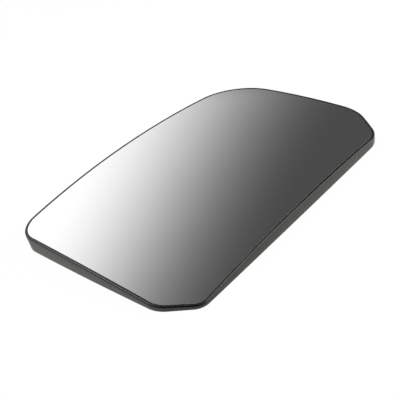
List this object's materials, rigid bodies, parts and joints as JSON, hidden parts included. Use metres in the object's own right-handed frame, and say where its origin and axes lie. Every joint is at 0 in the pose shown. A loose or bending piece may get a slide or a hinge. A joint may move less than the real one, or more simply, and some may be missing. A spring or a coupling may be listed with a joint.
{
  "type": "door mirror glass",
  "caption": "Convex six-sided door mirror glass bonded into a black moulded backing plate with rim lip, skirt, ribs, snap-finger actuator socket and heater terminals.",
  "frame": {"origin": "on the axis of the actuator socket, in the plane of the skirt's foot, which is also the centre of the outline's box", "axes": "+X along the long sides towards the end with the large far corner radius, +Y towards the far long side, +Z out of the glass face"},
  "size_m": [0.24, 0.1614, 0.0187],
  "materials": {
    "mirror": "first-surface coating behind polished convex glass",
    "heater_film": "thin self-adhesive polyester film",
    "moulded_plastic": "fine spark-eroded mould texture, smoother on the lip",
    "tinned_brass": "stamped sheet with a dull tin plating"
  },
  "bodies": {
    "root": {"mirror_glass": "mirror", "heater_pad": "heater_film", "backing_plate": "moulded_plastic", "left_terminal": "tinned_brass", "right_terminal": "tinned_brass", "terminal_rivets": "tinned_brass"}
  },
  "joints": []
}
